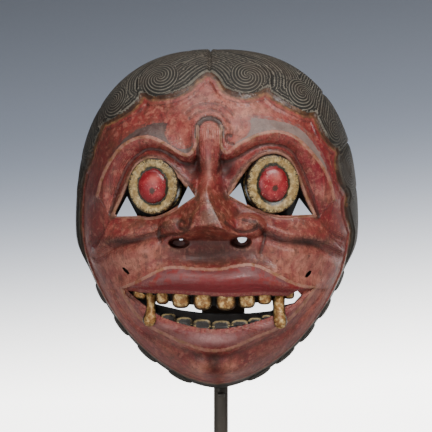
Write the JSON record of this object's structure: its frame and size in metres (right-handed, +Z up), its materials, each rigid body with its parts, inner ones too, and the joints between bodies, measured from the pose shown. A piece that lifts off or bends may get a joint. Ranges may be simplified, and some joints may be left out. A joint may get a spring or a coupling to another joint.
{
  "type": "topeng mask on a display stand",
  "caption": "Carved and painted wooden ogre mask with disc eyes, gold teeth and fangs, hollow behind, resting on a black steel rod with a flat foot.",
  "frame": {"origin": "middle of the foot's underside", "axes": "+Z up the rod, -Y the way the face looks, +X to the right of someone facing the mask"},
  "size_m": [0.156, 0.12, 0.31],
  "materials": {
    "painted_wood": "old red, black and gold paint, satin, worn on the edges",
    "black_steel": "matt black"
  },
  "bodies": {
    "root": {"mask": "painted_wood", "stand_rod": "black_steel", "stand_cradle": "black_steel", "stand_foot": "black_steel"}
  },
  "joints": []
}
